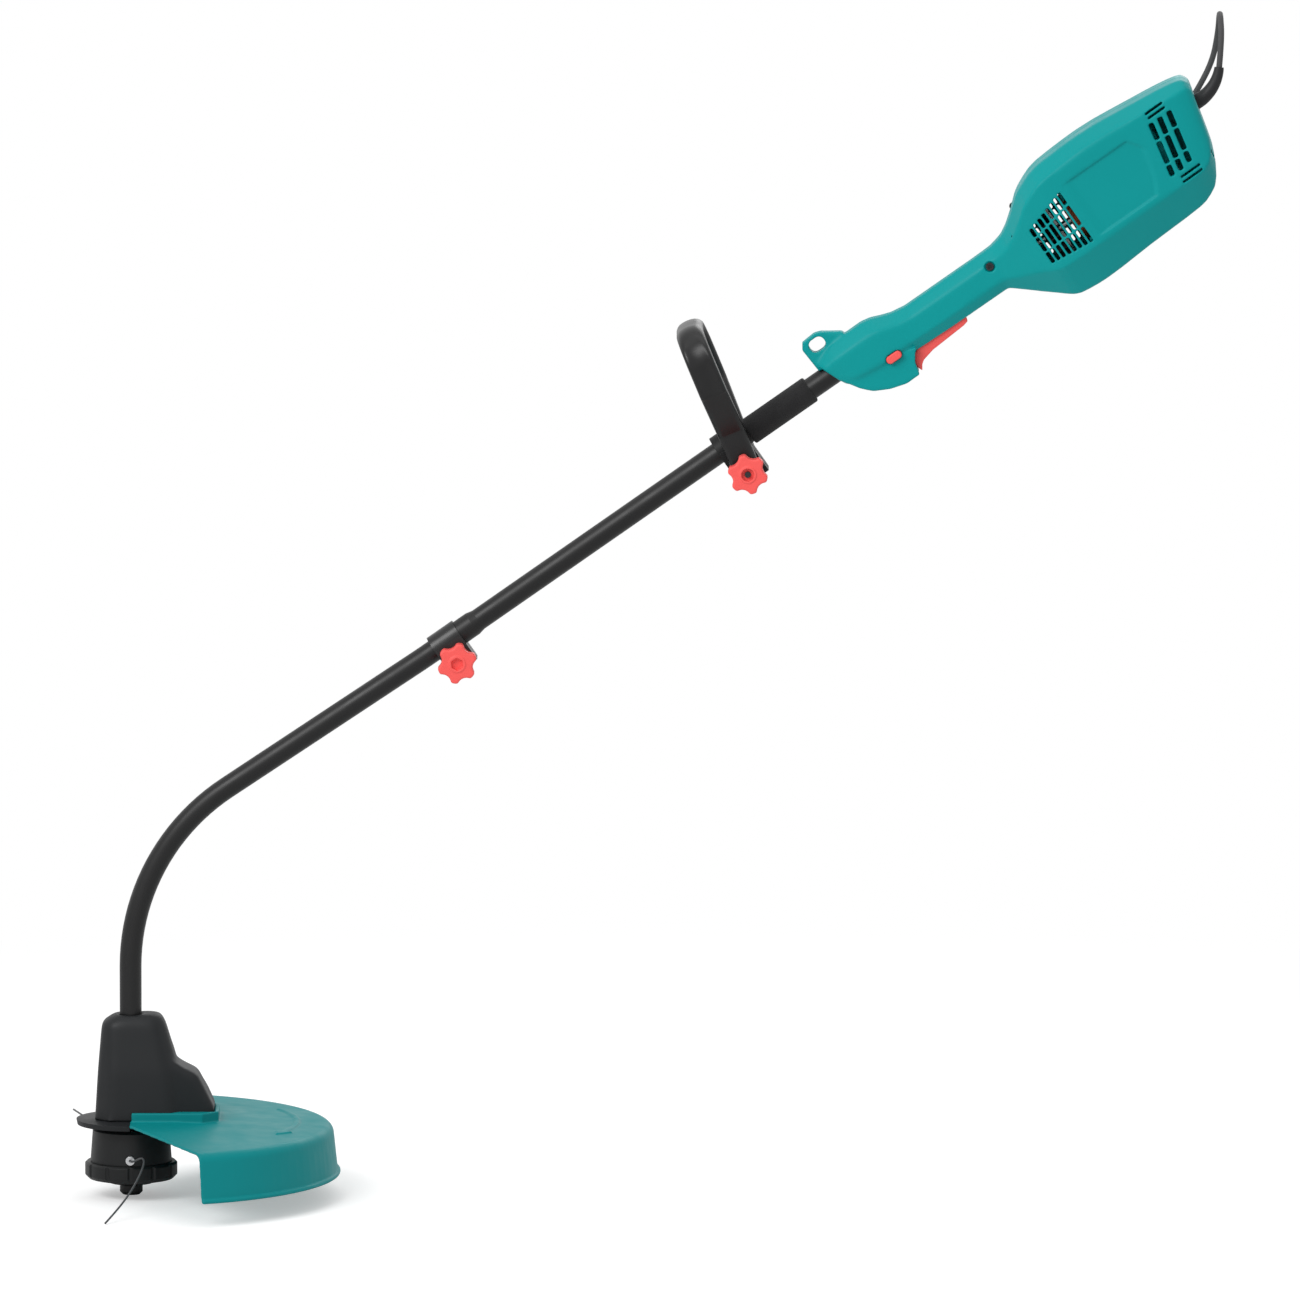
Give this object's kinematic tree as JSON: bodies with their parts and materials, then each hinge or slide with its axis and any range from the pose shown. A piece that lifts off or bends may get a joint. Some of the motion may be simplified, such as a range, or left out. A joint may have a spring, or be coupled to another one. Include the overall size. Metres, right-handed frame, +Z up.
{
  "type": "string trimmer",
  "caption": "Corded electric string trimmer with a bent two-piece tube, rear motor housing with trigger grip, adjustable loop handle, swept guard and tap-feed cutting head",
  "frame": {"origin": "middle of the rear grip, on the grip's centre line, where a hand holds the trimmer", "axes": "+X from the cutting head towards the motor, +Y to the far side of the trimmer, +Z up along the spindle of the cutting head, in the working posture"},
  "size_m": [1.1582, 0.3922, 1.1942],
  "materials": {
    "housing_teal": "satin",
    "guard_teal": "satin",
    "black_plastic": "satin",
    "red_plastic": "satin",
    "black_steel": "gloss",
    "foam": "matte",
    "rubber_black": "matte",
    "steel": "satin",
    "dark_steel": "satin",
    "copper": "satin",
    "brass": "satin",
    "carbon": "matte",
    "nylon": "satin",
    "white_plastic": "satin",
    "eyelet_metal": "satin"
  },
  "bodies": {
    "frame": {"housing_left": "housing_teal", "housing_right": "housing_teal", "housing_screws": "dark_steel", "motor_bearings": "steel", "field_core": "steel", "field_windings": "copper", "brush_holders": "brass", "carbon_brushes": "carbon", "capacitor": "steel", "switch_body": "black_plastic", "cable_boot": "rubber_black", "mains_lead": "rubber_black", "plug": "black_plastic", "plug_pins": "steel", "upper_tube": "black_steel", "lower_tube": "black_steel", "tube_collar": "black_steel", "collar_bolt": "dark_steel", "foam_sleeve": "foam", "drive_liner": "white_plastic", "flex_shaft": "steel", "liner_bushings": "white_plastic", "head_housing_left": "black_plastic", "head_housing_right": "black_plastic", "head_screws": "dark_steel", "spindle_bearings": "steel", "head_flange": "black_plastic", "flange_screws": "dark_steel", "guard": "guard_teal", "guard_screws": "dark_steel", "line_cutter": "steel"},
    "armature": {"armature_shaft": "steel", "drive_coupler": "steel", "armature_core": "steel", "armature_windings": "copper", "commutator": "copper", "cooling_fan": "black_plastic"},
    "cutting_head": {"head_spindle": "dark_steel", "spool_case": "black_plastic", "spool_cover": "black_plastic", "eyelets": "eyelet_metal", "line_near": "nylon", "line_far": "nylon", "knob_spring": "steel"},
    "tap_knob": {"tap_knob": "black_plastic"},
    "spool": {"line_spool": "black_plastic", "wound_line": "nylon"},
    "trigger": {"trigger": "red_plastic"},
    "plunger": {"switch_plunger": "white_plastic"},
    "lock_button": {"lock_button": "red_plastic"},
    "saddle": {"handle_saddle": "black_plastic", "handle_bolt": "dark_steel", "knob_washer": "black_plastic"},
    "loop": {"loop_handle": "black_plastic"},
    "handle_knob": {"handle_knob": "red_plastic"},
    "collar_knob": {"collar_knob": "red_plastic"}
  },
  "joints": [
    {"name": "trigger_pull", "type": "hinge", "parent": "frame", "child": "trigger", "pos_m": [0.01357, 0, -0.01064], "axis": [0, 1, 0], "range_deg": [0, 7], "stiffness_Nm_per_rad": 1, "springref_deg": -5.73},
    {"name": "switch_stroke", "type": "slide", "parent": "frame", "child": "plunger", "axis": [-0.574, 0, 0.8189], "range_m": [0, 0.0037]},
    {"name": "lock_button_press", "type": "slide", "parent": "frame", "child": "lock_button", "axis": [0, 1, 0], "range_m": [0, 0.003], "stiffness_N_per_m": 400, "springref_m": -0.003},
    {"name": "motor_spin", "type": "hinge", "parent": "frame", "child": "armature", "pos_m": [0.14719, 0, 0.10013], "axis": [-0.8189, 0, -0.574], "continuous": true},
    {"name": "head_spin", "type": "hinge", "parent": "frame", "child": "cutting_head", "pos_m": [-0.8193, 0, -0.82], "axis": [0, 0, -1], "continuous": true},
    {"name": "tap_knob_press", "type": "slide", "parent": "cutting_head", "child": "tap_knob", "axis": [0, 0, 1], "range_m": [0, 0.005], "stiffness_N_per_m": 900, "springref_m": -0.008, "deforming": ["knob_spring"]},
    {"name": "spool_feed", "type": "hinge", "parent": "cutting_head", "child": "spool", "pos_m": [-0.8193, 0, -0.865], "axis": [0, 0, -1], "continuous": true},
    {"name": "handle_slide", "type": "slide", "parent": "frame", "child": "saddle", "axis": [-0.8189, 0, -0.574], "range_m": [0, 0.15]},
    {"name": "handle_tilt", "type": "hinge", "parent": "saddle", "child": "loop", "pos_m": [-0.19986, 0, -0.16697], "axis": [0, 1, 0], "range_deg": [-15, 15]},
    {"name": "handle_knob_turn", "type": "hinge", "parent": "saddle", "child": "handle_knob", "pos_m": [-0.19986, 0, -0.16697], "axis": [0, -1, 0], "range_deg": [0, 720]},
    {"name": "collar_knob_turn", "type": "hinge", "parent": "frame", "child": "collar_knob", "pos_m": [-0.49064, 0, -0.36103], "axis": [0, -1, 0], "range_deg": [0, 720]}
  ],
  "couplings": [
    {"joint": "switch_stroke", "follows": "trigger_pull", "m_per_rad": 0.029},
    {"joint": "head_spin", "follows": "motor_spin", "ratio": 1}
  ]
}
